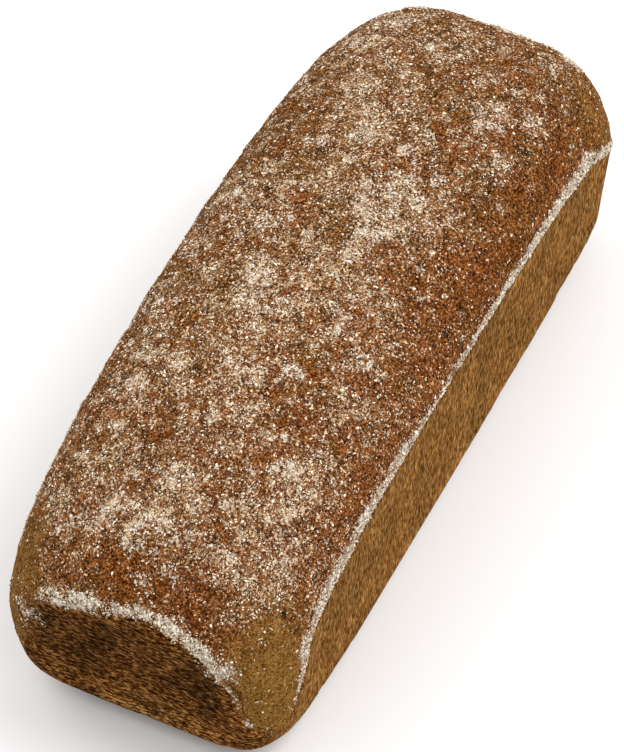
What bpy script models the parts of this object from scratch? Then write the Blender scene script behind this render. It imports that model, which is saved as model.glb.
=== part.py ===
"""Whole wheat tin loaf: one long loaf, pressed flat by its tin below and risen free above.

The loaf is the space that two forms share. One is the inside of the tin: a tapered block with
rounded corners, which gives the flat walls and the flat base. The other is the risen dough:
a pillow whose outline is squarer low down and rounder at the crown. Where the pillow leaves
the tin's wall there is a crease. It runs high and almost level along each wall, arches over
each end, and drops to the base at the four corners, where the dough never filled the tin.

X runs along the loaf, Y across it and Z up. The origin is the middle of the base.
Metres throughout.
"""

import math

import bmesh
import bpy
import numpy as np
from mathutils import Vector, noise

# The tin: its inside at the base, and how far each wall leans out for each metre of height
TIN_LENGTH = 0.2757
TIN_WIDTH = 0.1030
TIN_HEIGHT = 0.125
END_LEAN = 0.168
SIDE_LEAN = 0.066
TIN_CORNER = 0.014
BASE_EDGE = 0.0096
CORNER_STEPS = 6
# The walls pull in a little at mid height as the loaf cools
WALL_BOW = 0.0008
WALL_ROWS = 8

# The risen dough: half sizes of the pillow, its widest level, its crown and its depth below
PILLOW_HALF_NEAR = 0.1550
PILLOW_HALF_FAR = 0.1585
PILLOW_HALF_WIDTH = 0.0607
PILLOW_LEVEL = 0.0496
PILLOW_DEPTH = 0.0678
CROWN_HEIGHT = 0.1056
# How square the outline is low down, and how square at the crown, towards each end
SQUARE_BASE = 5.55
SQUARE_CROWN_NEAR = 2.21
SQUARE_CROWN_FAR = 2.57
# How full the shoulders are
SHOULDER_FULLNESS = 2.72

# The free crust: broad swells, and the lumps of the crumb that push up between them
SWELL_HEIGHT = 0.0010
SWELL_SIZE = 0.075
LUMP_HEIGHT = 0.0006
LUMP_SIZE = 0.013
# The point of the noise field that the loaf starts from
NOISE_PLACE = Vector((3.1, 7.7, 1.9))

# Cells of the pillow's mesh along X, Y and Z
CELLS = (58, 24, 24)
# Rounds of halving that close in on the pillow's surface, and how far out they look
HALVINGS = 24
REACH = 1.9
# Points closer to the base's level than this lie on it
LEVEL = 1e-5
# Faces turned less than this from each other count as one flat face
FLAT_ANGLE = math.radians(0.05)
SHARP_ANGLE = math.radians(30)

CRUST_COLOUR = (0.29, 0.115, 0.036, 1.0)
CRUST_ROUGHNESS = 0.78


def tin_half_sizes(z):
    """Half length and half width of the tin's inside at a height."""
    bow = WALL_BOW * math.sin(math.pi * min(max(z / CROWN_HEIGHT, 0), 1))
    return TIN_LENGTH / 2 + END_LEAN * z - bow, TIN_WIDTH / 2 + SIDE_LEAN * z - bow


def tin_block():
    """The inside of the tin as a closed block, taller than the loaf."""
    bm = bmesh.new()
    bmesh.ops.create_cube(bm, size=2)
    for vert in bm.verts:
        z = TIN_HEIGHT if vert.co.z > 0 else 0
        half_length, half_width = tin_half_sizes(z)
        vert.co = Vector((vert.co.x * half_length, vert.co.y * half_width, z))
    upright = [edge for edge in bm.edges if edge.verts[0].co.z != edge.verts[1].co.z]
    round_edges(bm, upright, TIN_CORNER)
    around_base = [edge for edge in bm.edges if max(vert.co.z for vert in edge.verts) < LEVEL]
    round_edges(bm, around_base, BASE_EDGE)
    bow_walls(bm)
    return bm


def round_edges(bm, edges, radius):
    bmesh.ops.bevel(
        bm,
        geom=edges,
        affect="EDGES",
        offset=radius,
        segments=CORNER_STEPS,
        profile=0.5,
        material=-1,
    )


def bow_walls(bm):
    """Rows are cut round the walls, and each row is drawn in by the bow at its height."""
    for row in range(1, WALL_ROWS):
        level = BASE_EDGE + (TIN_HEIGHT - BASE_EDGE) * row / WALL_ROWS
        geometry = bm.verts[:] + bm.edges[:] + bm.faces[:]
        bmesh.ops.bisect_plane(bm, geom=geometry, plane_co=(0, 0, level), plane_no=(0, 0, 1))
    for vert in bm.verts:
        half_length, half_width = tin_half_sizes(vert.co.z)
        vert.co.x *= half_length / (TIN_LENGTH / 2 + END_LEAN * vert.co.z)
        vert.co.y *= half_width / (TIN_WIDTH / 2 + SIDE_LEAN * vert.co.z)


def dough_level(p):
    """How far outside the risen dough each point is, about in metres; negative inside."""
    x, y, z = p[:, 0], p[:, 1], p[:, 2]
    near = x < 0
    half_length = np.where(near, PILLOW_HALF_NEAR, PILLOW_HALF_FAR)
    climb = np.clip((z - PILLOW_LEVEL / 2) / (CROWN_HEIGHT - PILLOW_LEVEL / 2), 0, 1)
    square_crown = np.where(near, SQUARE_CROWN_NEAR, SQUARE_CROWN_FAR)
    square = SQUARE_BASE * (1 - climb) + square_crown * climb
    rise = np.where(z > PILLOW_LEVEL, CROWN_HEIGHT - PILLOW_LEVEL, PILLOW_DEPTH)
    outline = np.abs(x / half_length) ** square + np.abs(y / PILLOW_HALF_WIDTH) ** square
    full = SHOULDER_FULLNESS
    radius = (outline ** (full / square) + np.abs((z - PILLOW_LEVEL) / rise) ** full) ** (1 / full)
    return (radius - 1) * PILLOW_HALF_WIDTH


def onto_dough(p, heart):
    """Each point moved along its line from the heart of the loaf to the pillow's surface."""
    inside, outside = np.zeros(len(p)), np.full(len(p), REACH)
    for _ in range(HALVINGS):
        middle = (inside + outside) / 2
        within = dough_level(heart + (p - heart) * middle[:, None]) < 0
        inside = np.where(within, middle, inside)
        outside = np.where(within, outside, middle)
    return heart + (p - heart) * inside[:, None]


def grid_block():
    """A closed block of unit half size, cut into cells along its three axes."""
    bm = bmesh.new()
    bmesh.ops.create_cube(bm, size=2)
    for axis, cells in enumerate(CELLS):
        along = [
            edge for edge in bm.edges if abs((edge.verts[0].co - edge.verts[1].co)[axis]) > 1
        ]
        bmesh.ops.subdivide_edges(bm, edges=along, cuts=cells - 1, use_grid_fill=True)
    return bm


def crust_relief(place):
    """Height of the swells and lumps of the free crust at a place."""
    swell = noise.noise(place / SWELL_SIZE + NOISE_PLACE) * SWELL_HEIGHT
    lump = noise.noise(place / LUMP_SIZE + NOISE_PLACE) * LUMP_HEIGHT
    return swell + lump


def pillow():
    """The risen dough as a closed pillow with a lumpy skin."""
    bm = grid_block()
    heart = np.array([0, 0, PILLOW_LEVEL])
    half = np.array([PILLOW_HALF_FAR, PILLOW_HALF_WIDTH, CROWN_HEIGHT - PILLOW_LEVEL])
    block = heart + np.array([vert.co for vert in bm.verts]) * half
    for vert, place in zip(bm.verts, onto_dough(block, heart)):
        vert.co = Vector(place)
    bm.normal_update()
    heights = [crust_relief(vert.co) for vert in bm.verts]
    for vert, height in zip(bm.verts, heights):
        vert.co += vert.normal * height
    return bm


def crust_material():
    material = bpy.data.materials.new("crust")
    material.use_nodes = True
    shader = material.node_tree.nodes["Principled BSDF"]
    shader.inputs["Base Color"].default_value = CRUST_COLOUR
    shader.inputs["Roughness"].default_value = CRUST_ROUGHNESS
    shader.inputs["Metallic"].default_value = 0.0
    return material


def make_object(name, bm, collection):
    mesh = bpy.data.meshes.new(name)
    bm.to_mesh(mesh)
    bm.free()
    made = bpy.data.objects.new(name, mesh)
    collection.objects.link(made)
    return made


def shape_by_tin(loaf, tin):
    """Only the dough inside the tin's walls stays, with the base as one flat face."""
    cut = loaf.modifiers.new("tin", "BOOLEAN")
    cut.operation = "INTERSECT"
    cut.object = tin
    bpy.context.view_layer.update()
    evaluated = loaf.evaluated_get(bpy.context.evaluated_depsgraph_get())
    mesh = bpy.data.meshes.new_from_object(evaluated)
    loaf.modifiers.clear()
    loaf.data = mesh
    bm = bmesh.new()
    bm.from_mesh(mesh)
    bmesh.ops.dissolve_limit(bm, angle_limit=FLAT_ANGLE, verts=bm.verts, edges=bm.edges)
    bm.to_mesh(mesh)
    bm.free()


def make_loaf(collection, cutters):
    loaf = make_object("loaf", pillow(), collection)
    tin = make_object("tin", tin_block(), cutters)
    tin.display_type = "WIRE"
    tin.hide_render = True
    shape_by_tin(loaf, tin)
    loaf.data.materials.append(crust_material())
    loaf.data.shade_smooth()
    loaf.data.set_sharp_from_angle(angle=SHARP_ANGLE)
    return loaf


def new_collection(name):
    collection = bpy.data.collections.new(name)
    bpy.context.scene.collection.children.link(collection)
    return collection


def main():
    for obj in list(bpy.data.objects):
        bpy.data.objects.remove(obj)
    make_loaf(new_collection("whole_wheat_loaf"), new_collection("cutters"))


main()
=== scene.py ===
"""Looks of the whole wheat tin loaf, in metres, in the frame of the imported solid.

A fine skin of the same form stands for the solid: dough pressed flat by the tin below, and a
risen crust above. Flour and bran lie on it as small real pieces. X runs along the loaf, Y
across it and Z up; the end at minus X and the long wall at minus Y face the camera.

A name that ends in FROM holds two places: where something sets in, and where it is full.
"""

import math

import bmesh
import bpy
import numpy as np
from mathutils import Matrix, Vector, noise


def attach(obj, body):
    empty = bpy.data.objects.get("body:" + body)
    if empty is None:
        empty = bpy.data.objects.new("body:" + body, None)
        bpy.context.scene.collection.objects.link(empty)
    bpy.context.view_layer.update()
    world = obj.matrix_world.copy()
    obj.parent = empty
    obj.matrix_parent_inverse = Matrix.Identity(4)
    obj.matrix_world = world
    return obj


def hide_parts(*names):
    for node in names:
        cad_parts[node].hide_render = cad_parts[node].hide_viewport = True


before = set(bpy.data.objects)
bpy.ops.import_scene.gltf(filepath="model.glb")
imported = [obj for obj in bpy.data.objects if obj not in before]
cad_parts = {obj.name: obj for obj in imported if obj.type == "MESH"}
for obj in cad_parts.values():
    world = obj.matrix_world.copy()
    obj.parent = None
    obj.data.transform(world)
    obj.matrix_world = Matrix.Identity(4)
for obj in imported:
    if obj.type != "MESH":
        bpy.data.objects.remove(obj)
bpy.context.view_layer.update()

MILLIMETRE = 0.001
# Where the random draws start, and how far out their bell-shaped scatter may go
SEED = 7
SCATTER_LIMIT = 1.8

# The tin's inside: its size at the base, the lean of its walls for each metre of height, its
# rounded corners and lower edge, and how far the walls pull in at mid height
TIN_LENGTH = 0.2757
TIN_WIDTH = 0.1030
END_LEAN = 0.168
SIDE_LEAN = 0.066
TIN_CORNER = 0.014
BASE_EDGE = 0.0096
WALL_BOW = 0.0008

# The risen dough: half sizes, widest level, crown and depth, and how square its outline is
PILLOW_HALF_NEAR = 0.1550
PILLOW_HALF_FAR = 0.1585
PILLOW_HALF_WIDTH = 0.0607
PILLOW_LEVEL = 0.0496
PILLOW_DEPTH = 0.0678
CROWN_HEIGHT = 0.1056
SQUARE_BASE = 5.55
SQUARE_CROWN_NEAR = 2.21
SQUARE_CROWN_FAR = 2.57
SHOULDER_FULLNESS = 2.72

# The skin's mesh: its cells along X, Y and Z, the share of the base's length and width that
# needs no cells, the rounds of halving that close in on its surface and how far out they
# look, and the height below which a point lies on the base
SKIN_CELLS = (260, 99, 84)
PLAIN_BASE = (0.86, 0.70)
HALVINGS = 24
REACH = 1.9
LEVEL = 2e-5

# How far the skin lies inside the solid, and how far it stays clear of the tin's wall; each
# grows to twice that higher up
SKIN_INSET = 0.0004
INSET_FROM = (0.095, 0.104)
WALL_CLEAR = 0.0003
CLEAR_FROM = (0.040, 0.070)

# How softly wall and dough meet, and how much sharper they meet towards the ends
CREASE_SOFTNESS = 0.0045
CREASE_SHARPER = 0.5
SHARPER_FROM = (0.095, 0.125)

# The step that slopes are measured over, and the least slope that counts
SLOPE_STEP = 0.0002
LEAST_SLOPE = 0.15

# The round corners stay bare of the tin: how far they reach along and across at mid height,
# how much wider they get higher up, and the heights between which they close below
CORNER_ALONG = 0.0218
CORNER_ACROSS = 0.0115
CORNER_WIDENS = 0.60
WIDENS_FROM = (0.030, 0.060)
CORNER_FOOT = (0.018, 0.034)
# The far corners filled the tin up to a line that falls towards the end: where it starts
# along and up, its fall for each metre, and where along and across the loaf this sets in
FULL_CORNER = (0.1105, 0.0666)
FULL_CORNER_FALL = 0.64
FULL_ALONG_FROM = (98 * MILLIMETRE, 118 * MILLIMETRE)
FULL_ACROSS_FROM = (34 * MILLIMETRE, 48 * MILLIMETRE)

# Distance beyond the tin's end wall, negative inside it, from which a place belongs to the
# end; the height from which the crease rules and not the corners; and where the base ends
END_FROM = (-12 * MILLIMETRE, -2 * MILLIMETRE)
CREASE_FROM = (46 * MILLIMETRE, 62 * MILLIMETRE)
BASE_END = (0.3 * MILLIMETRE, 4 * MILLIMETRE)
# How softly wall and crust change over, in millimetres, and how much softer at the foot
WALL_CHANGE = 0.7
WALL_CHANGE_LOW = 6

# On the long walls the crust hangs a few millimetres over the wall, furthest at one place
OVERHANG = 4.1
OVERHANG_MORE = 3.2
OVERHANG_MIDDLE = 0.062
OVERHANG_REACH = 0.045

# The crease arches higher over the near end and dips beside it on the right: how much, in
# millimetres, the middle and reach of each across the loaf, and from what distance beyond
# the end wall
ARCH_RISE = 4.8
ARCH_PLACE = (-0.0060, 0.0170)
ARCH_DIP = 5.0
ARCH_DIP_PLACE = (-0.0365, 0.0050)
ARCH_FROM = (-20 * MILLIMETRE, -9 * MILLIMETRE)

# The corners are golden: where that sets in along and across and ends above, how ragged its
# rim is, and how much weaker it is at the far end
GOLD_ALONG_FROM = (0.108, 0.134)
GOLD_ACROSS_FROM = (0.030, 0.048)
GOLD_END = (0.072, 0.090)
GOLD_RAGGED = 0.006
GOLD_LESS_FAR = 0.5

# Kinds of unevenness: size of the lumps, and a shift that sets each kind apart
NOISE_PLACE = np.array([3.1, 7.7, 1.9])
SWELL = (0.075, 0.0)
LUMP = (0.013, 0.0)
FLOUR_BROAD = (0.030, 5.0)
FLOUR_CLUSTER = (0.0085, 11.0)
FLOUR_HEAP = (0.0062, 13.0)
FLOUR_SPECK = (0.0036, 17.0)
WANDER_ALONG = (0.007, 23.0)
WANDER_ACROSS = (0.007, 29.0)
BAND_CLUMP = (0.0090, 31.0)
BAND_CRUMB = (0.0030, 37.0)
WRINKLE = (0.0052, 41.0)
GRIT = (0.0021, 43.0)
PIT = (0.0038, 47.0)
DENT = (0.024, 53.0)
FINE_DENT = (0.0030, 59.0)
POWDER = (0.0019, 61.0)
GOLD_RIM = (0.012, 71.0)
NICK = (0.008, 83.0)

# Heights and depths of the relief; the broad swells and lumps are as in the solid
SWELL_HEIGHT = 0.0010
LUMP_HEIGHT = 0.0006
WRINKLE_HEIGHT = 0.26 * MILLIMETRE
GRIT_HEIGHT = 0.16 * MILLIMETRE
PIT_DEPTH = 0.5 * MILLIMETRE
PIT_FROM = (0.42, 0.75)
FLOUR_HEIGHT = 0.12 * MILLIMETRE
DENT_DEPTH = 0.30 * MILLIMETRE
FINE_DENT_DEPTH = 0.10 * MILLIMETRE
NICK_DEPTH = 0.8 * MILLIMETRE
NICK_FROM = (0.15, 0.60)
NICK_LEVEL = (0.005, 0.005)
DUST_HEIGHT = 0.35 * MILLIMETRE
HOLE_DEPTH = 1.3 * MILLIMETRE
# The lip over the crease and the groove under it: height or depth, and the middle and reach
# in millimetres beyond the crease
LIP_HEIGHT = 0.35 * MILLIMETRE
LIP_PLACE = (-1.8, 2.0)
GROOVE_DEPTH = 0.55 * MILLIMETRE
GROOVE_PLACE = (0.9, 1.0)

# The far right corner and the foot of the right-hand wall stand out a little: place, reach
# along, across and up, and how far
SWOLLEN = (
    ((0.132, -0.052, 0.042), (0.022, 0.020, 0.026), 0.0018),
    ((-0.030, -0.052, 0.006), (0.045, 0.012, 0.014), 0.0014),
)

# Blister holes in the crust: place and reach
HOLES = (
    (-0.1219, -0.0475, 0.0746, 0.0016),
    (-0.1290, 0.0480, 0.0700, 0.0012),
    (0.0150, -0.0500, 0.0900, 0.0011),
    (0.0950, 0.0480, 0.0850, 0.0014),
    (-0.0200, 0.0500, 0.0880, 0.0012),
)

# Where flour settled most on the crown: place along and across, reach and strength
FLOUR_PATCHES = (
    (-0.082, -0.028, 0.0048, 1.00),
    (-0.086, -0.037, 0.0036, 0.95),
    (-0.074, 0.002, 0.0065, 0.60),
    (-0.054, -0.003, 0.0075, 0.70),
    (-0.036, -0.024, 0.0045, 0.40),
    (-0.030, -0.033, 0.0050, 0.75),
    (-0.024, 0.008, 0.0072, 0.60),
    (-0.004, -0.031, 0.0045, 0.45),
    (-0.014, 0.016, 0.0060, 0.75),
    (-0.033, 0.045, 0.0055, 0.65),
    (-0.058, 0.036, 0.0065, 0.70),
    (-0.074, 0.035, 0.0070, 0.60),
    (-0.120, 0.022, 0.0070, 0.60),
    (-0.126, 0.006, 0.0075, 0.70),
    (-0.119, -0.004, 0.0060, 0.70),
    (-0.100, 0.006, 0.0060, 0.50),
    (0.008, 0.028, 0.0080, 0.80),
    (0.023, 0.041, 0.0060, 0.50),
    (0.018, -0.013, 0.0080, 0.85),
    (0.030, -0.006, 0.0090, 0.65),
    (0.042, -0.014, 0.0080, 0.70),
    (0.066, 0.012, 0.0065, 0.55),
    (0.060, -0.007, 0.0055, 0.65),
    (0.072, -0.034, 0.0060, 0.60),
    (0.091, -0.024, 0.0070, 0.80),
    (0.098, -0.038, 0.0050, 0.50),
    (0.128, 0.030, 0.0080, 0.50),
    (0.118, 0.006, 0.0070, 0.40),
)

# Broad drifts with more flour than usual, and barer places: place, reach and how much more
FLOUR_DRIFTS = (
    (0.034, -0.024, 0.012, 0.16),
    (0.078, 0.023, 0.012, 0.20),
    (-0.001, 0.002, 0.015, 0.30),
    (-0.005, -0.027, 0.009, 0.12),
    (-0.015, -0.008, 0.012, 0.08),
    (-0.042, 0.008, 0.014, 0.18),
    (-0.055, -0.006, 0.009, 0.25),
    (-0.066, 0.022, 0.010, 0.18),
    (-0.102, 0.026, 0.010, 0.12),
    (-0.116, 0.037, 0.010, 0.10),
    (-0.110, -0.002, 0.013, 0.08),
    (-0.092, -0.008, 0.010, 0.16),
    (-0.098, -0.027, 0.009, 0.22),
    (-0.078, -0.031, 0.008, 0.08),
    (-0.089, -0.039, 0.008, -0.08),
    (-0.118, -0.044, 0.018, 0.26),
    (-0.048, -0.047, 0.012, 0.18),
    (-0.082, -0.052, 0.012, 0.14),
    (0.037, 0.010, 0.014, 0.12),
    (0.072, -0.008, 0.011, 0.10),
    (-0.104, -0.015, 0.009, -0.17),
    (-0.083, -0.022, 0.008, -0.14),
    (-0.137, -0.030, 0.009, -0.34),
    (-0.137, -0.006, 0.010, -0.08),
    (-0.063, -0.023, 0.010, -0.10),
    (-0.084, 0.020, 0.012, -0.12),
    (-0.046, -0.022, 0.011, -0.30),
    (-0.142, 0.010, 0.012, -0.30),
    (0.012, -0.034, 0.013, -0.24),
    (0.052, 0.036, 0.013, -0.18),
    (0.074, 0.042, 0.010, -0.16),
    (0.060, -0.030, 0.012, -0.14),
    (0.075, -0.020, 0.010, -0.12),
    (0.094, -0.013, 0.010, -0.10),
    (0.123, -0.026, 0.016, -0.10),
    (0.014, 0.013, 0.010, -0.26),
    (-0.066, 0.050, 0.012, -0.12),
)

# How far patches and drifts stray from their round outline, how strong the small heaps
# between them are and where their noise sets in, and the height from which there are heaps
FLOUR_WANDER = 0.005
SMALL_HEAP = 0.75
SMALL_HEAP_FROM = (0.30, 0.55)
HEAP_UP_FROM = (0.060, 0.085)
# The crust is barer towards the right-hand wall, and more so in its far half: how much, and
# from where. It is barer in a strip over the crease too: how much, and the strip's middle and
# reach in millimetres beyond the crease. The golden corners are almost bare
BARE_SIDE = 0.20
BARE_SIDE_FAR = 0.36
BARE_FAR_FROM = (-0.05, 0.04)
BARE_SIDE_FROM = (0.030, 0.048)
BARE_EDGE = 0.30
BARE_EDGE_PLACE = (-12.0, 6.0)
BARE_GOLD = 0.92

# The pale band of flour: its thickness in millimetres at mid length of the long walls, what
# is added between two places along the loaf, its thickness over the ends, the share that it
# loses lower down, the heights between which it grows to the full on the long walls and on
# the ends, and the heights between which it starts
BAND_THICKNESS = 4.6
BAND_MORE = (
    (0.000, -0.075, 2.4),
    (0.020, 0.060, 2.6),
    (0.070, 0.120, 1.6),
    (0.108, 0.128, -4.2),
)
BAND_END_THICKNESS = 4.5
BAND_THINNER_LOW = 0.55
BAND_LOW_SIDES = (0.030, 0.060)
BAND_LOW_ENDS = (0.052, 0.070)
BAND_FOOT_FROM = (0.022, 0.036)
# The left corner of the near end has almost no band: from where across and along, and the
# heights between which that ends
BARE_CORNER = 0.85
BARE_CORNER_ACROSS_FROM = (0.025, 0.033)
BARE_CORNER_ALONG_FROM = (-0.118, -0.130)
BARE_CORNER_END = (0.070, 0.080)
# The band is thinner at mid length: how much, and the middle and reach of that
BAND_GAP = 0.28
BAND_GAP_PLACE = (-0.018, 0.028)
# Dabs of flour where the near end's crease stops on each side: place, reach and strength
DABS = (
    (-0.1455, 0.0385, 0.0560, 0.0048, 0.62),
    (-0.1485, -0.0355, 0.0645, 0.0060, 0.85),
)

# Grains and flakes of unit size: how many shapes of each, their sides, how far each point is
# pulled in or out, how far a grain's peak strays and the grain is lifted, and the radius of a
# flake's top face and how far its points are lifted
SHAPES_OF_A_KIND = 8
GRAIN_SIDES = 4
GRAIN_PULL = (0.7, 1.25)
GRAIN_PEAK = (-0.15, 0.15)
GRAIN_LIFT = 0.2
FLAKE_SIDES = 5
FLAKE_PULL = (0.65, 1.25)
FLAKE_TOP = 0.38
FLAKE_CURL = (0.0, 0.4)

# What lies on the crust, one piece for each kind: how many, the middle length and its
# scatter, the least and most width and thickness as shares of the length, and how far they
# lean
STREWN = {
    "flour_grains": (29000, 0.50 * MILLIMETRE, 0.40, (0.5, 1.0), (0.25, 0.5), 0.25),
    "flour_flakes": (12000, 0.85 * MILLIMETRE, 0.35, (0.3, 0.7), (0.12, 0.25), 0.26),
    "bran_flakes": (2600, 1.30 * MILLIMETRE, 0.25, (0.3, 0.65), (0.10, 0.2), 0.22),
    "dark_bran": (3000, 0.75 * MILLIMETRE, 0.30, (0.5, 0.9), (0.15, 0.3), 0.2),
    "crease_flour": (13000, 0.72 * MILLIMETRE, 0.45, (0.6, 1.0), (0.4, 0.8), 0.35),
}

# Colours, each as a place on a ramp and a linear colour. First the strewn pieces
FLOUR_TONES = (
    (0.0, (0.27, 0.150, 0.070)),
    (0.4, (0.52, 0.385, 0.250)),
    (0.8, (0.76, 0.670, 0.530)),
    (1.0, (0.90, 0.850, 0.760)),
)
BAND_TONES = (
    (0.0, (0.17, 0.115, 0.065)),
    (0.35, (0.46, 0.385, 0.285)),
    (0.8, (0.73, 0.675, 0.580)),
    (1.0, (0.87, 0.840, 0.780)),
)
BRAN_TONES = (
    (0.0, (0.30, 0.140, 0.050)),
    (0.45, (0.52, 0.340, 0.170)),
    (1.0, (0.82, 0.700, 0.520)),
)
DARK_BRAN_TONES = (
    (0.0, (0.030, 0.011, 0.004)),
    (1.0, (0.100, 0.042, 0.015)),
)
# The finer flour of the skin: loose flecks, heaps, and the band on the long walls
CREAM_FLECKS = (
    (0.36, (0.310, 0.185, 0.090)),
    (0.50, (0.540, 0.395, 0.245)),
    (0.64, (0.780, 0.670, 0.510)),
)
WHITE_HEAPS = (
    (0.40, (0.280, 0.225, 0.160)),
    (0.48, (0.540, 0.485, 0.400)),
    (0.58, (0.810, 0.785, 0.730)),
)
CHALK_BAND = (
    (0.40, (0.255, 0.205, 0.140)),
    (0.48, (0.450, 0.395, 0.310)),
    (0.58, (0.690, 0.645, 0.560)),
)
# The free crust, its golden corners, and the pressed walls
BROWN_CRUST = (
    (0.40, (0.012, 0.003, 0.000)),
    (0.47, (0.072, 0.023, 0.003)),
    (0.53, (0.150, 0.055, 0.011)),
    (0.60, (0.260, 0.112, 0.030)),
    (0.67, (0.420, 0.225, 0.085)),
)
GOLDEN_CRUST = (
    (0.40, (0.080, 0.030, 0.005)),
    (0.49, (0.170, 0.078, 0.014)),
    (0.60, (0.290, 0.155, 0.040)),
)
PRESSED_SIDES = (
    (0.42, (0.052, 0.017, 0.002)),
    (0.48, (0.142, 0.059, 0.011)),
    (0.54, (0.222, 0.101, 0.024)),
    (0.60, (0.370, 0.200, 0.070)),
)
# The end walls' colours are darker than the long walls': partly their own darker crust, partly
# painted shade
PRESSED_ENDS_AND_SHADE = (
    (0.43, (0.008, 0.002, 0.000)),
    (0.48, (0.040, 0.012, 0.002)),
    (0.52, (0.078, 0.027, 0.005)),
    (0.59, (0.260, 0.125, 0.038)),
)
FILM_COLOUR = (0.380, 0.290, 0.205)
CRACK_COLOUR = (0.045, 0.018, 0.004)
# Near-black painted shade inside the blister holes
HOLE_SHADE_COLOUR = (0.012, 0.005, 0.002)
# Tints that a colour is multiplied by
RED_TINT = (1.09, 0.87, 0.84)
TAN_TINT = (1.00, 1.01, 0.98)
PLAIN_TINT = (1.0, 1.0, 1.0)
GOLDEN_TINT = (1.45, 1.70, 1.85)
BASE_TINT = (0.62, 0.55, 0.50)
POWDER_TINT = (1.12, 1.08, 1.02)
# The crust is redder towards the near end and the long wall that shows
REDDER = (-0.45, -1.2, 0.0)
# Streaks of the walls, as cells for each metre along X, Y and Z
UPRIGHT_STREAKS = (1600.0, 1600.0, 280.0)
LEVEL_STREAKS = (1400.0, 420.0, 1400.0)
LONG_STREAKS = (420.0, 420.0, 30.0)

# Camera: where it looks, how far off it stands, its height, bearing and tilt as angles, its
# lens and sensor in millimetres, and how far it sees
CAMERA_TARGET = Vector((-0.0053, -0.0010, 0.0482))
CAMERA_DISTANCE = 2.289
CAMERA_HEIGHT = math.radians(50.87)
CAMERA_BEARING = math.radians(-63.92)
CAMERA_TILT = math.radians(-0.26)
CAMERA_LENS = 310.9
CAMERA_SENSOR = 36.0
CAMERA_SIGHT = 20

# The floor, the even light of the sky, and two broad lamps: name, place and power
FLOOR_HALF_SIZE = 3
FLOOR_COLOUR = (0.90, 0.90, 0.90, 1.0)
SKY_COLOUR = (1.0, 1.0, 1.0, 1.0)
SKY_STRENGTH = 0.80
LAMP_SIZE = 2.0
LAMPS = (
    ("key", (0.75, -1.35, 1.75), 40.0),
    ("fill", (-0.30, 1.50, 1.60), 22.0),
)


def soft_step(low, high, values):
    """Smooth change from 0 at the first value to 1 at the second, whichever is higher."""
    share = np.clip((values - low) / (high - low), 0, 1)
    return share * share * (3 - 2 * share)


def bell(values, middle, reach):
    return np.exp(-(((values - middle) / reach) ** 2))


def noise_at(p, size, shift):
    """Smooth noise between about -1 and 1 at each point, with lumps of a given size."""
    return np.array([noise.noise(place) for place in (p / size + NOISE_PLACE + shift).tolist()])


def away_from(p, place):
    return np.linalg.norm(p - np.array(place), axis=1)


def unit(vectors):
    return vectors / np.linalg.norm(vectors, axis=1)[:, None]


def new_object(name, data):
    made = bpy.data.objects.new(name, data)
    bpy.context.scene.collection.objects.link(made)
    return made


def keep_values(mesh, name, values):
    """Keeps a value for each point of a mesh, which its material reads by name."""
    kept = mesh.attributes.new(name, "FLOAT", "POINT")
    kept.data.foreach_set("value", values.astype(np.float32))


def tin_level(p):
    """Distance outside the tin's inner wall; negative inside the tin."""
    x, y, z = np.abs(p[:, 0]), np.abs(p[:, 1]), p[:, 2]
    bow = WALL_BOW * np.clip(np.sin(np.pi * z / CROWN_HEIGHT), 0, 1)
    along = x - (TIN_LENGTH / 2 + END_LEAN * z - bow) + TIN_CORNER
    across = y - (TIN_WIDTH / 2 + SIDE_LEAN * z - bow) + TIN_CORNER
    outline = np.hypot(np.maximum(along, 0), np.maximum(across, 0))
    outline += np.minimum(np.maximum(along, across), 0) - TIN_CORNER
    side, under = outline + BASE_EDGE, BASE_EDGE - z
    rounded = np.hypot(np.maximum(side, 0), np.maximum(under, 0))
    return rounded + np.minimum(np.maximum(side, under), 0) - BASE_EDGE


def dough_level(p):
    """How far outside the risen dough a point is, about in metres; negative inside."""
    x, y, z = p[:, 0], p[:, 1], p[:, 2]
    near = x < 0
    half_length = np.where(near, PILLOW_HALF_NEAR, PILLOW_HALF_FAR)
    climb = np.clip((z - PILLOW_LEVEL / 2) / (CROWN_HEIGHT - PILLOW_LEVEL / 2), 0, 1)
    square_crown = np.where(near, SQUARE_CROWN_NEAR, SQUARE_CROWN_FAR)
    square = SQUARE_BASE * (1 - climb) + square_crown * climb
    rise = np.where(z > PILLOW_LEVEL, CROWN_HEIGHT - PILLOW_LEVEL, PILLOW_DEPTH)
    outline = np.abs(x / half_length) ** square + np.abs(y / PILLOW_HALF_WIDTH) ** square
    full = SHOULDER_FULLNESS
    radius = (outline ** (full / square) + np.abs((z - PILLOW_LEVEL) / rise) ** full) ** (1 / full)
    return (radius - 1) * PILLOW_HALF_WIDTH


def loaf_level(p):
    """The space that tin and dough share, with the crease between them a little rounded."""
    tin, dough = tin_level(p), dough_level(p)
    sharper = CREASE_SHARPER * soft_step(*SHARPER_FROM, np.abs(p[:, 0]))
    softness = CREASE_SOFTNESS * (1 - sharper)
    share = np.clip(0.5 + 0.5 * (tin - dough) / softness, 0, 1)
    return tin * share + dough * (1 - share) + softness * share * (1 - share)


def onto_loaf(p, heart):
    """Each point moved along its line from the heart of the loaf to the loaf's surface."""
    inside, outside = np.zeros(len(p)), np.full(len(p), REACH)
    for _ in range(HALVINGS):
        middle = (inside + outside) / 2
        within = loaf_level(heart + (p - heart) * middle[:, None]) < 0
        inside = np.where(within, middle, inside)
        outside = np.where(within, outside, middle)
    return heart + (p - heart) * inside[:, None]


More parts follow.
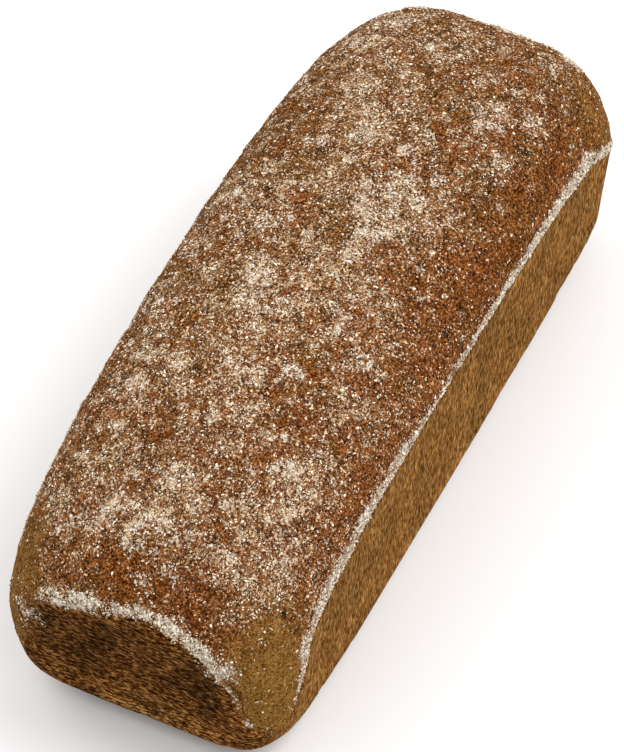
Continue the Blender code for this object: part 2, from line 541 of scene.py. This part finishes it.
def beyond_crease(p, normals):
    """Distance from the crease along the surface: positive down the wall, negative above it."""
    def gap(q):
        return tin_level(q) - dough_level(q)
    slope = np.stack([
        (gap(p + step) - gap(p - step)) / (2 * SLOPE_STEP)
        for step in np.eye(3) * SLOPE_STEP
    ], axis=1)
    slope -= normals * (slope * normals).sum(axis=1)[:, None]
    steep = np.maximum(np.linalg.norm(slope, axis=1), LEAST_SLOPE)
    return gap(p) / steep


def beyond_corner(p):
    """Distance from the bare round corners: negative on a corner, positive along the walls."""
    x, y, z = np.abs(p[:, 0]), np.abs(p[:, 1]), p[:, 2]
    wider = 1 + CORNER_WIDENS * soft_step(*WIDENS_FROM, z)
    along = TIN_LENGTH / 2 + END_LEAN * z - CORNER_ALONG * wider - x
    across = TIN_WIDTH / 2 + SIDE_LEAN * z - CORNER_ACROSS * wider - y
    return np.maximum(along, across) + TIN_CORNER * (1 - soft_step(*CORNER_FOOT, z))


def in_plain_base(face):
    """Whether a face of the unit block lies in the middle of its underside."""
    along, across = PLAIN_BASE
    return face.normal.z < -0.5 and all(
        abs(vert.co.x) < along and abs(vert.co.y) < across for vert in face.verts
    )


def skin_block():
    """A block of unit half size in fine cells, its base one plain face but for a border."""
    bm = bmesh.new()
    bmesh.ops.create_cube(bm, size=2)
    for axis, cells in enumerate(SKIN_CELLS):
        along = [
            edge for edge in bm.edges if abs((edge.verts[0].co - edge.verts[1].co)[axis]) > 1
        ]
        bmesh.ops.subdivide_edges(bm, edges=along, cuts=cells - 1, use_grid_fill=True)
    plain = [face for face in bm.faces if in_plain_base(face)]
    bmesh.ops.dissolve_faces(bm, faces=plain, use_verts=True)
    bm.verts.index_update()
    return bm


def place_verts(bm, p):
    """Moves the block's points to their places, and gives the normals there."""
    for vert, place in zip(bm.verts, p.tolist()):
        vert.co = place
    bm.normal_update()
    return np.array([vert.normal for vert in bm.verts])


def survey(p, normals):
    """What each point of the skin is: its place beside the crease, its wall, its flour."""
    x, y, z = p.T
    at = {}
    outward = np.abs(x) - TIN_LENGTH / 2 - END_LEAN * z
    at["end"] = soft_step(*END_FROM, outward)
    overhang = OVERHANG + OVERHANG_MORE * bell(x, OVERHANG_MIDDLE, OVERHANG_REACH)
    arch = ARCH_RISE * bell(y, *ARCH_PLACE) - ARCH_DIP * bell(y, *ARCH_DIP_PLACE)
    crease = beyond_crease(p, normals) / MILLIMETRE - overhang * (1 - at["end"])
    crease += arch * soft_step(*ARCH_FROM, outward) * (x < 0)
    high = soft_step(*CREASE_FROM, z)
    beyond = crease * high + beyond_corner(p) / MILLIMETRE * (1 - high)
    full = soft_step(*FULL_ALONG_FROM, x) * soft_step(*FULL_ACROSS_FROM, np.abs(y))
    level = FULL_CORNER[1] - FULL_CORNER_FALL * np.maximum(x - FULL_CORNER[0], 0)
    beyond = beyond * (1 - full) + (level - z) / MILLIMETRE * full
    at["beyond"] = beyond
    change = WALL_CHANGE + WALL_CHANGE_LOW * (1 - soft_step(*CORNER_FOOT, z))
    at["wall"] = soft_step(-change, change, beyond)
    at["base"] = 1 - soft_step(*BASE_END, z)
    ragged = GOLD_RAGGED * noise_at(p, *GOLD_RIM)
    corner = soft_step(*GOLD_ALONG_FROM, np.abs(x) + ragged)
    corner = corner * soft_step(*GOLD_ACROSS_FROM, np.abs(y) + ragged)
    at["gold"] = corner * (1 - soft_step(*GOLD_END, z + ragged)) * (1 - at["wall"])
    at["gold"] *= 1 - GOLD_LESS_FAR * (x > 0)
    at["flour"] = flour_on_dome(p, at)
    at["dust"] = flour_on_crease(p, at)
    at["hole"] = np.zeros(len(p))
    for *place, reach in HOLES:
        at["hole"] = np.maximum(at["hole"], bell(away_from(p, place), 0, reach))
    return at


def flour_on_dome(p, at):
    """How thickly flour and bran lie on the free crust, from 0 to 1; the heaps go in at."""
    x, y, z = p.T
    broad = noise_at(p, *FLOUR_BROAD)
    cluster = noise_at(p, *FLOUR_CLUSTER)
    speck = noise_at(p, *FLOUR_SPECK)
    amount = 0.43 + 0.07 * broad + 0.28 * cluster + 0.26 * speck
    wander_x = FLOUR_WANDER * noise_at(p, *WANDER_ALONG)
    wander_y = FLOUR_WANDER * noise_at(p, *WANDER_ACROSS)
    for middle_x, middle_y, reach, more in FLOUR_DRIFTS:
        away = np.hypot(x + 2 * wander_x - middle_x, y + 2 * wander_y - middle_y)
        amount += more * bell(away, 0, reach)
    heap = SMALL_HEAP * soft_step(*SMALL_HEAP_FROM, noise_at(p, *FLOUR_HEAP))
    for middle_x, middle_y, reach, strength in FLOUR_PATCHES:
        away = np.hypot(x + wander_x - middle_x, y + wander_y - middle_y)
        heap = np.maximum(heap, strength * soft_step(1.5, 0.5, away / reach))
    torn = 0.72 + 0.45 * cluster + 0.45 * speck
    bare = BARE_SIDE + BARE_SIDE_FAR * soft_step(*BARE_FAR_FROM, x)
    side = 1 - bare * soft_step(*BARE_SIDE_FROM, -y) * (1 - at["end"])
    edge = 1 - BARE_EDGE * bell(at["beyond"], *BARE_EDGE_PLACE)
    thinner = side * edge * (1 - BARE_GOLD * at["gold"])
    heap = np.clip(heap * torn, 0, 1) * soft_step(*HEAP_UP_FROM, z) * (1 - at["wall"])
    at["heap"] = heap * (0.4 + 0.6 * thinner)
    return np.clip(amount * thinner + 0.40 * at["heap"], 0, 1) * (1 - at["wall"])


def flour_on_crease(p, at):
    """The pale band along the crease: thin at mid length, thick towards the ends, clumpy."""
    x, y, z = p.T
    end = at["end"]
    low = (1 - soft_step(*BAND_LOW_SIDES, z)) * (1 - end)
    low = low + (1 - soft_step(*BAND_LOW_ENDS, z)) * end
    thick = BAND_THICKNESS
    for start, full, more in BAND_MORE:
        thick = thick + more * soft_step(start, full, x)
    thick = thick * (1 - end) + BAND_END_THICKNESS * end
    thick = thick * (1 - BAND_THINNER_LOW * low)
    clump = noise_at(p, *BAND_CLUMP)
    crumb = noise_at(p, *BAND_CRUMB)
    beyond = at["beyond"] + 0.5 * crumb + (0.5 + 1.6 * end) * clump
    upper = soft_step(-1.20 * thick, -0.70 * thick, beyond)
    band = upper * (1 - soft_step(-0.2, 0.8 + 0.5 * end, beyond))
    broken = 0.80 - 0.16 * end + (0.26 + 0.60 * end) * clump + (0.30 + 1.00 * end) * crumb
    dust = band * (broken - low * (0.25 + 0.35 * end)) * soft_step(*BAND_FOOT_FROM, z)
    bare = soft_step(*BARE_CORNER_ACROSS_FROM, y) * soft_step(*BARE_CORNER_ALONG_FROM, x)
    bare = bare * (1 - soft_step(*BARE_CORNER_END, z))
    dust = dust * (1 - BARE_CORNER * bare) * (1 - BAND_GAP * bell(x, *BAND_GAP_PLACE))
    for *place, reach, strength in DABS:
        dab = strength * bell(away_from(p, place), 0, reach) * (0.9 + 0.9 * crumb)
        dust = np.maximum(dust, dab)
    return np.clip(dust, 0, 1)


def crust_relief(p, at):
    """Height of the crust over the plain form at each point."""
    z = p[:, 2]
    swell = noise_at(p, *SWELL) * SWELL_HEIGHT + noise_at(p, *LUMP) * LUMP_HEIGHT
    wrinkle = WRINKLE_HEIGHT * noise_at(p, *WRINKLE)
    grit = GRIT_HEIGHT * noise_at(p, *GRIT)
    pit = -PIT_DEPTH * soft_step(*PIT_FROM, noise_at(p, *PIT))
    dome = swell + wrinkle + grit + pit + FLOUR_HEIGHT * at["flour"]
    dent = DENT_DEPTH * noise_at(p, *DENT) + FINE_DENT_DEPTH * noise_at(p, *FINE_DENT)
    nicks = -NICK_DEPTH * soft_step(*NICK_FROM, noise_at(p, *NICK)) * bell(z, *NICK_LEVEL)
    pressed = dent * (1 - at["base"]) + nicks
    lip = LIP_HEIGHT * bell(at["beyond"], *LIP_PLACE)
    groove = -GROOVE_DEPTH * bell(at["beyond"], *GROOVE_PLACE)
    flour = DUST_HEIGHT * at["dust"] * (0.6 + 0.4 * noise_at(p, *POWDER))
    height = dome * (1 - at["wall"]) + pressed * at["wall"] + lip + groove + flour
    for place, reach, most in SWOLLEN:
        for axis in range(3):
            most = most * bell(p[:, axis], place[axis], reach[axis])
        height += most
    inset = SKIN_INSET * (1 + soft_step(*INSET_FROM, z))
    return (height - inset) * (1 - at["base"]) - HOLE_DEPTH * at["hole"]


def make_skin():
    """The loaf's skin, and what was surveyed at each of its points."""
    bm = skin_block()
    heart = np.array([0, 0, PILLOW_LEVEL])
    low = np.array([-PILLOW_HALF_FAR, -PILLOW_HALF_WIDTH, 0.0])
    high = np.array([PILLOW_HALF_FAR, PILLOW_HALF_WIDTH, CROWN_HEIGHT])
    block = np.array([vert.co for vert in bm.verts])
    p = onto_loaf((low + high) / 2 + block * (high - low) / 2, heart)
    p[np.abs(p[:, 2]) < LEVEL, 2] = 0
    normals = place_verts(bm, p)
    at = survey(p, normals)
    p = p + normals * crust_relief(p, at)[:, None]
    clear = WALL_CLEAR * (1 + soft_step(*CLEAR_FROM, p[:, 2]))
    p = p - normals * (np.maximum(tin_level(p) + clear, 0) * (1 - at["base"]))[:, None]
    p[:, 2] = np.maximum(p[:, 2], 0)
    place_verts(bm, p)
    mesh = bpy.data.meshes.new("loaf_skin")
    bm.to_mesh(mesh)
    bm.free()
    mesh.shade_smooth()
    for name in ("wall", "end", "base", "gold", "flour", "heap", "dust", "hole", "beyond"):
        keep_values(mesh, name, at[name])
    return new_object("loaf_skin", mesh), at


def shape_arrays(bm):
    """A small closed shape as arrays of its points and its triangles."""
    bmesh.ops.triangulate(bm, faces=bm.faces)
    bm.verts.index_update()
    points = np.array([vert.co for vert in bm.verts])
    triangles = np.array([[vert.index for vert in face.verts] for face in bm.faces])
    bm.free()
    return points, triangles


def grain_shape(rng):
    """A low uneven grain with one peak, of unit size, sunk a little below its level."""
    bm = bmesh.new()
    bmesh.ops.create_cone(
        bm, cap_ends=True, segments=GRAIN_SIDES, radius1=0.5, radius2=0, depth=1
    )
    for vert in bm.verts:
        pull = rng.uniform(*GRAIN_PULL)
        vert.co = Vector((vert.co.x * pull, vert.co.y * pull, vert.co.z + GRAIN_LIFT))
        if vert.co.z > 0.5:
            vert.co.x, vert.co.y = rng.uniform(*GRAIN_PEAK, 2)
    return shape_arrays(bm)


def flake_shape(rng):
    """A flat chip with an uneven outline and a smaller top face, of unit size."""
    bm = bmesh.new()
    bmesh.ops.create_cone(
        bm, cap_ends=True, segments=FLAKE_SIDES, radius1=0.5, radius2=FLAKE_TOP, depth=1
    )
    for vert in bm.verts:
        pull = rng.uniform(*FLAKE_PULL)
        curl = rng.uniform(*FLAKE_CURL)
        vert.co = Vector((vert.co.x * pull, vert.co.y * pull, vert.co.z + curl))
    return shape_arrays(bm)


def places_on(mesh, density, count, rng):
    """Random places on a mesh, more where the density is higher, with the normals there."""
    mesh.calc_loop_triangles()
    corners = np.zeros(len(mesh.loop_triangles) * 3, np.int32)
    mesh.loop_triangles.foreach_get("vertices", corners)
    corners = corners.reshape(-1, 3)
    co = np.zeros(len(mesh.vertices) * 3, np.float32)
    mesh.vertices.foreach_get("co", co)
    normals = np.zeros(len(mesh.vertices) * 3, np.float32)
    mesh.vertices.foreach_get("normal", normals)
    a, b, c = np.moveaxis(co.reshape(-1, 3)[corners].astype(float), 1, 0)
    area = np.linalg.norm(np.cross(b - a, c - a), axis=1)
    weight = area * density[corners].mean(axis=1)
    picked = rng.choice(len(corners), count, p=weight / weight.sum())
    u, v = rng.random((2, count))
    fold = u + v > 1
    u, v = np.where(fold, 1 - u, u)[:, None], np.where(fold, 1 - v, v)[:, None]
    places = a[picked] + (b - a)[picked] * u + (c - a)[picked] * v
    return places, unit(normals.reshape(-1, 3)[corners[picked]].astype(float).mean(axis=1))


def scatter(rng, shape):
    """Bell-shaped random values around 0, none of them far out."""
    return np.clip(rng.normal(0, 1, shape), -SCATTER_LIMIT, SCATTER_LIMIT)


def strew(name, shapes, mesh, density, rng):
    """Copies of small shapes laid on the skin at true size, joined into one piece."""
    count, length, spread, width, thickness, lean = STREWN[name]
    places, up = places_on(mesh, density, count, rng)
    up = unit(up + lean * scatter(rng, up.shape))
    along = unit(np.cross(up, rng.normal(0, 1, up.shape)))
    across = np.cross(up, along)
    size = length * np.exp(spread * scatter(rng, count))
    wide = size * rng.uniform(*width, count)
    thick = size * rng.uniform(*thickness, count)
    kind = rng.integers(len(shapes), size=count)
    tone = rng.random(count)
    points, triangles, tones, start = [], [], [], 0
    for number, (shape, sides) in enumerate(shapes):
        mine = np.flatnonzero(kind == number)
        frames = np.stack([
            along[mine] * size[mine, None],
            across[mine] * wide[mine, None],
            up[mine] * thick[mine, None],
        ], axis=1)
        laid = places[mine][:, None, :] + np.einsum("vk,nkd->nvd", shape, frames)
        first = start + np.arange(len(mine)) * len(shape)
        points.append(laid.reshape(-1, 3))
        triangles.append((first[:, None, None] + sides).reshape(-1, 3))
        tones.append(np.repeat(tone[mine], len(shape)))
        start += len(mine) * len(shape)
    made = bpy.data.meshes.new(name)
    made.from_pydata(np.concatenate(points).tolist(), [], np.concatenate(triangles).tolist())
    keep_values(made, "tone", np.concatenate(tones))
    return new_object(name, made)


def add(tree, kind, inputs=None, **settings):
    """A node with its settings, and its inputs set to values or linked to other sockets."""
    made = tree.nodes.new(kind)
    for key, value in settings.items():
        setattr(made, key, value)
    for key, value in (inputs or {}).items():
        if isinstance(value, bpy.types.NodeSocket):
            tree.links.new(value, made.inputs[key])
        else:
            made.inputs[key].default_value = value
    return made


def ramp(tree, factor, stops):
    """A colour ramp; each stop is a place and a linear colour."""
    made = add(tree, "ShaderNodeValToRGB", {"Fac": factor})
    elements = made.color_ramp.elements
    while len(elements) < len(stops):
        elements.new(1.0)
    for element, (place, colour) in zip(elements, stops):
        element.position = place
        element.color = (*colour, 1.0)
    return made.outputs["Color"]


def mix(tree, factor, first, second, blend_type="MIX"):
    """Two colours mixed by a factor; each may be a socket, and the colours may be plain."""
    made = add(tree, "ShaderNodeMix", data_type="RGBA", blend_type=blend_type)
    for number, value in ((0, factor), (6, first), (7, second)):
        socket = made.inputs[number]
        if isinstance(value, bpy.types.NodeSocket):
            tree.links.new(value, socket)
        else:
            socket.default_value = value if socket.type == "VALUE" else (*value, 1.0)
    return made.outputs[2]


def tinted(tree, colour, tint):
    """A colour multiplied by a tint or by a value."""
    return mix(tree, 1.0, colour, tint, "MULTIPLY")


def mix_values(tree, factor, first, second):
    inputs = {0: factor, 2: first, 3: second}
    return add(tree, "ShaderNodeMix", inputs, data_type="FLOAT").outputs[0]


def maths(tree, operation, first, second=0.0, clamp=False):
    made = add(tree, "ShaderNodeMath", {0: first, 1: second}, operation=operation)
    made.use_clamp = clamp
    return made.outputs[0]


def blend(tree, first, second, share):
    """Mostly the first value, with a share of the second."""
    rest = maths(tree, "MULTIPLY", first, 1 - share)
    return maths(tree, "ADD", rest, maths(tree, "MULTIPLY", second, share))


def flecks(tree, noise_value, amount, bare, full, sharpness):
    """Where noise rises over a limit that sinks from bare to full as the amount goes to 1."""
    limit = add(tree, "ShaderNodeMapRange", {"Value": amount, "To Min": bare, "To Max": full})
    over = maths(tree, "SUBTRACT", noise_value, limit.outputs["Result"])
    present = maths(tree, "MULTIPLY", amount, 12.0, True)
    return maths(tree, "MULTIPLY", maths(tree, "MULTIPLY", over, sharpness, True), present)


def between(tree, value, low, high, to_low=0.0, to_high=1.0):
    """A value's smooth way from one limit to the other, between two results."""
    made = add(
        tree,
        "ShaderNodeMapRange",
        {"Value": value, "From Min": low, "From Max": high, "To Min": to_low, "To Max": to_high},
    )
    made.interpolation_type = "SMOOTHSTEP"
    return made.outputs["Result"]


def value_of(tree, name):
    return add(tree, "ShaderNodeAttribute", attribute_name=name).outputs["Fac"]


def axis_of(tree, place, axis):
    return add(tree, "ShaderNodeSeparateXYZ", {"Vector": place}).outputs[axis]


def grain_noise(tree, vector, scale, detail=3.0, rough=0.55):
    made = add(
        tree,
        "ShaderNodeTexNoise",
        {"Vector": vector, "Scale": scale, "Detail": detail, "Roughness": rough},
    )
    return made.outputs["Fac"]


def streak_noise(tree, place, cells, rough=0.55):
    """Noise with a number of cells of its own for each metre along X, Y and Z."""
    stretched = add(tree, "ShaderNodeMapping", {"Vector": place, "Scale": cells})
    return grain_noise(tree, stretched.outputs["Vector"], 1.0, 2.0, rough)


def add_bump(tree, shader, height, strength, distance):
    bump = add(
        tree,
        "ShaderNodeBump",
        {"Height": height, "Strength": strength, "Distance": distance},
    )
    tree.links.new(bump.outputs["Normal"], shader.inputs["Normal"])


def powder_group():
    """Fine uneven powder: a mask from 0 to 1 and a height, at a given grain size."""
    group = bpy.data.node_groups.new("powder", "ShaderNodeTree")
    sockets = group.interface
    sockets.new_socket("Vector", in_out="INPUT", socket_type="NodeSocketVector")
    sockets.new_socket("Scale", in_out="INPUT", socket_type="NodeSocketFloat")
    for name in ("Mask", "Height"):
        sockets.new_socket(name, in_out="OUTPUT", socket_type="NodeSocketFloat")
    entry = group.nodes.new("NodeGroupInput").outputs
    leave = group.nodes.new("NodeGroupOutput").inputs
    fine = grain_noise(group, entry["Vector"], entry["Scale"], 3.0, 0.7)
    coarser = maths(group, "MULTIPLY", entry["Scale"], 0.31)
    coarse = grain_noise(group, entry["Vector"], coarser, 2.0)
    both = blend(group, fine, coarse, 0.35)
    group.links.new(between(group, both, 0.40, 0.60), leave["Mask"])
    group.links.new(both, leave["Height"])
    return group


def use_group(tree, group, vector, scale):
    made = add(tree, "ShaderNodeGroup", {"Vector": vector, "Scale": scale}, node_tree=group)
    return made.outputs["Mask"], made.outputs["Height"]


def new_material(name, roughness, specular):
    material = bpy.data.materials.new(name)
    material.use_nodes = True
    shader = material.node_tree.nodes["Principled BSDF"]
    shader.inputs["Roughness"].default_value = roughness
    shader.inputs["Specular IOR Level"].default_value = specular
    return material, material.node_tree, shader


def own_place(tree):
    """The place of each point in its object's own coordinates."""
    return add(tree, "ShaderNodeTexCoord").outputs["Object"]


def crust_material(powder):
    """Browned crust, pressed walls and thin flour, painted from what each point is."""
    material, tree, shader = new_material("browned_crust", 0.90, 0.01)
    place = own_place(tree)
    mask, fine = use_group(tree, powder, place, 1700.0)
    pores = grain_noise(tree, place, 1150.0, 2.0, 0.75)
    patchy = grain_noise(tree, place, 230.0, 3.0, 0.6)
    risen = risen_colour(tree, place, blend(tree, pores, patchy, 0.22))
    pressed, streaks = pressed_colour(tree, place, fine)
    wall = value_of(tree, "wall")
    colour = mix(tree, wall, risen, pressed)
    film = maths(tree, "MULTIPLY", maths(tree, "MULTIPLY", mask, value_of(tree, "flour")), 0.15)
    colour = mix(tree, film, colour, FILM_COLOUR)

    fine_clumps = grain_noise(tree, place, 1000.0, 2.0, 0.7)
    broad_clumps = grain_noise(tree, place, 330.0, 2.0)
    clumps = blend(tree, fine_clumps, broad_clumps, 0.30)
    thin = flecks(tree, clumps, value_of(tree, "flour"), bare=0.65, full=0.43, sharpness=13.0)
    heaped = flecks(tree, clumps, value_of(tree, "heap"), bare=0.62, full=0.42, sharpness=12.0)
    dusty = flecks(tree, clumps, value_of(tree, "dust"), bare=0.64, full=0.38, sharpness=9.0)
    thick = maths(tree, "MAXIMUM", heaped, dusty)
    cream = ramp(tree, grain_noise(tree, place, 1900.0, 1.0), CREAM_FLECKS)
    white = ramp(tree, fine, WHITE_HEAPS)
    chalk = ramp(tree, fine, CHALK_BAND)
    end = value_of(tree, "end")
    colour = mix(tree, thin, colour, cream)
    colour = mix(tree, heaped, colour, white)
    colour = mix(tree, dusty, colour, mix(tree, end, chalk, white))
    colour = mix(tree, cracks(tree, place, end), colour, CRACK_COLOUR)
    # Painted shade fills the blister holes
    colour = mix(tree, value_of(tree, "hole"), colour, HOLE_SHADE_COLOUR)
    tree.links.new(colour, shader.inputs["Base Color"])

    rough = mix_values(tree, wall, fine, streaks)
    pale = maths(tree, "MULTIPLY", maths(tree, "MAXIMUM", thin, thick), 0.25)
    height = maths(tree, "ADD", rough, pale)
    add_bump(tree, shader, height, 0.9, 0.5 * MILLIMETRE)
    return material


def cracks(tree, place, end):
    """A broken dark line in the floury band over each end wall."""
    wander = maths(tree, "MULTIPLY", grain_noise(tree, place, 150.0, 2.0), 5.0)
    apart = maths(tree, "ABSOLUTE", maths(tree, "ADD", value_of(tree, "beyond"), wander))
    line = between(tree, apart, 0.15, 0.60, 0.9, 0.0)
    broken = between(tree, grain_noise(tree, place, 110.0, 2.0), 0.44, 0.52)
    return maths(tree, "MULTIPLY", maths(tree, "MULTIPLY", line, broken), end)


def risen_colour(tree, place, tone):
    """The free crust: tan-brown to red-brown, dark in its pores, golden at the four corners, with
    painted shade on the left-hand golden corners.
    """
    brown = ramp(tree, tone, BROWN_CRUST)
    red = tinted(tree, brown, RED_TINT)
    tan = tinted(tree, brown, TAN_TINT)
    lean = add(tree, "ShaderNodeVectorMath", {0: place, 1: REDDER}, operation="DOT_PRODUCT")
    redness = maths(tree, "ADD", grain_noise(tree, place, 70.0, 4.0), lean.outputs["Value"])
    brown = mix(tree, between(tree, redness, 0.34, 0.64), tan, red)
    gold = ramp(tree, tone, GOLDEN_CRUST)
    across = axis_of(tree, place, "Y")
    # Painted shade: the golden corners on the left side (plus Y), away from the key lamp, are
    # painted darker
    gold = tinted(tree, gold, between(tree, across, 0.020, 0.046, 1.0, 0.80))
    return mix(tree, value_of(tree, "gold"), brown, gold)


def pressed_colour(tree, place, fine):
    """The crust that the tin pressed flat, and the height of its fine streaks.

    The long walls are streaked upright. The end walls are darker, partly their own darker crust
    and partly painted shade, with short level streaks. Painted shade and painted light also go on
    by height and beside the crease.
    """
    upright = streak_noise(tree, place, UPRIGHT_STREAKS, 0.6)
    level = streak_noise(tree, place, LEVEL_STREAKS, 0.6)
    mottled = grain_noise(tree, place, 420.0, 3.0, 0.65)
    side_tone = blend(tree, blend(tree, upright, fine, 0.28), mottled, 0.15)
    side = ramp(tree, side_tone, PRESSED_SIDES)
    end_tone = blend(tree, blend(tree, level, fine, 0.35), mottled, 0.20)
    ends = ramp(tree, end_tone, PRESSED_ENDS_AND_SHADE)
    end = value_of(tree, "end")
    beyond = value_of(tree, "beyond")
    across, height = axis_of(tree, place, "Y"), axis_of(tree, place, "Z")
    broad = grain_noise(tree, place, 60.0, 3.0)

    low = between(tree, height, 0.012, 0.034, 1.0, 0.0)
    lighter = maths(tree, "MULTIPLY", low, between(tree, across, 0.0, 0.024, 1.0, 0.0))
    lighter = maths(tree, "MULTIPLY", lighter, between(tree, across, -0.034, -0.014))
    for tint in (
        between(tree, broad, 0.38, 0.62, 0.66, 1.25),
        # Painted light and shade: the end walls are painted lighter low down for bounce light from
        # the floor, and darker high up for shade under the rim
        between(tree, height, 0.012, 0.045, 1.45, 0.88),
        between(tree, beyond, 1.0, 8.0, 1.9, 1.0),
        mix(tree, lighter, PLAIN_TINT, GOLDEN_TINT),
    ):
        ends = tinted(tree, ends, tint)

    long = streak_noise(tree, place, LONG_STREAKS)
    for tint in (
        between(tree, long, 0.38, 0.62, 0.88, 1.12),
        between(tree, broad, 0.36, 0.64, 0.88, 1.13),
        # Painted light: the long walls are painted lighter at their foot, against the floor's
        # contact shade
        between(tree, height, 0.0, 0.035, 1.10, 1.00),
        # Painted shade: the long walls are painted darker just under the crease, for the shadow
        # below the lip
        between(tree, beyond, 0.3, 6.0, 0.76, 1.0),
    ):
        side = tinted(tree, side, tint)

    walls = mix(tree, end, side, ends)
    under = tinted(tree, side, BASE_TINT)
    streaks = mix_values(tree, end, upright, level)
    return mix(tree, value_of(tree, "base"), walls, under), blend(tree, streaks, fine, 0.4)


def strewn_material(name, powder, stops):
    """Flour or bran: each little piece has its own tone, with a fine powder over it."""
    material, tree, shader = new_material(name, 0.92, 0.12)
    mask, height = use_group(tree, powder, own_place(tree), 2600.0)
    colour = ramp(tree, value_of(tree, "tone"), stops)
    dusty = tinted(tree, colour, POWDER_TINT)
    tree.links.new(mix(tree, mask, colour, dusty), shader.inputs["Base Color"])
    add_bump(tree, shader, height, 0.6, 0.15 * MILLIMETRE)
    return material


def lay(piece, material):
    piece.data.materials.append(material)
    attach(piece, "root")


def dress_loaf():
    """The skin and all that lies on it."""
    rng = np.random.default_rng(SEED)
    powder = powder_group()
    skin, at = make_skin()
    lay(skin, crust_material(powder))
    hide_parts("loaf")

    grains = [grain_shape(rng) for _ in range(SHAPES_OF_A_KIND)]
    flakes = [flake_shape(rng) for _ in range(SHAPES_OF_A_KIND)]
    free = (1 - at["wall"]) * (1 - at["base"])
    dome = at["flour"] ** 2 + 0.012 * free
    band = at["dust"] ** 2 * (0.35 + 0.65 * at["end"])
    cream = strewn_material("flour", powder, FLOUR_TONES)
    pale = strewn_material("crease_flour", powder, BAND_TONES)
    bran = strewn_material("bran", powder, BRAN_TONES)
    dark = strewn_material("dark_bran", powder, DARK_BRAN_TONES)
    for name, shapes, density, material, slot in (
        ("flour_grains", grains, dome, cream, "flour"),
        ("flour_flakes", flakes, dome, cream, "flour"),
        ("bran_flakes", flakes, dome ** 0.6, bran, "bran"),
        ("dark_bran", flakes, free, dark, "bran"),
        ("crease_flour", grains, band, pale, "flour"),
    ):
        lay(strew(name, shapes, skin.data, density, rng), material)


def make_stage():
    """A plain pale floor under soft studio light from the right and above."""
    bm = bmesh.new()
    bmesh.ops.create_grid(bm, x_segments=1, y_segments=1, size=FLOOR_HALF_SIZE)
    mesh = bpy.data.meshes.new("floor")
    bm.to_mesh(mesh)
    bm.free()
    floor = new_object("floor", mesh)
    material, _, shader = new_material("pale_floor", 0.9, 0.1)
    shader.inputs["Base Color"].default_value = FLOOR_COLOUR
    floor.data.materials.append(material)

    world = bpy.data.worlds.new("studio")
    bpy.context.scene.world = world
    world.use_nodes = True
    sky = world.node_tree.nodes["Background"]
    sky.inputs["Color"].default_value = SKY_COLOUR
    sky.inputs["Strength"].default_value = SKY_STRENGTH

    for name, place, power in LAMPS:
        light = bpy.data.lights.new(name, "AREA")
        light.shape = "DISK"
        light.size = LAMP_SIZE
        light.energy = power
        lamp = new_object(name, light)
        lamp.location = place
        lamp.rotation_euler = (-Vector(place)).to_track_quat("-Z", "Y").to_euler()


def make_camera():
    back = Vector((
        math.sin(CAMERA_BEARING) * math.cos(CAMERA_HEIGHT),
        -math.cos(CAMERA_BEARING) * math.cos(CAMERA_HEIGHT),
        math.sin(CAMERA_HEIGHT),
    ))
    right = Vector((math.cos(CAMERA_BEARING), math.sin(CAMERA_BEARING), 0))
    turned = Matrix.Rotation(CAMERA_TILT, 3, back) @ right
    up = back.cross(turned)
    data = bpy.data.cameras.new("camera")
    data.lens = CAMERA_LENS
    data.sensor_width = CAMERA_SENSOR
    data.clip_end = CAMERA_SIGHT
    camera = new_object("camera", data)
    turn = Matrix((turned, up, back)).transposed().to_4x4()
    camera.matrix_world = Matrix.Translation(CAMERA_TARGET + back * CAMERA_DISTANCE) @ turn
    bpy.context.scene.camera = camera


bpy.context.scene.view_settings.view_transform = "Standard"
dress_loaf()
make_stage()
make_camera()
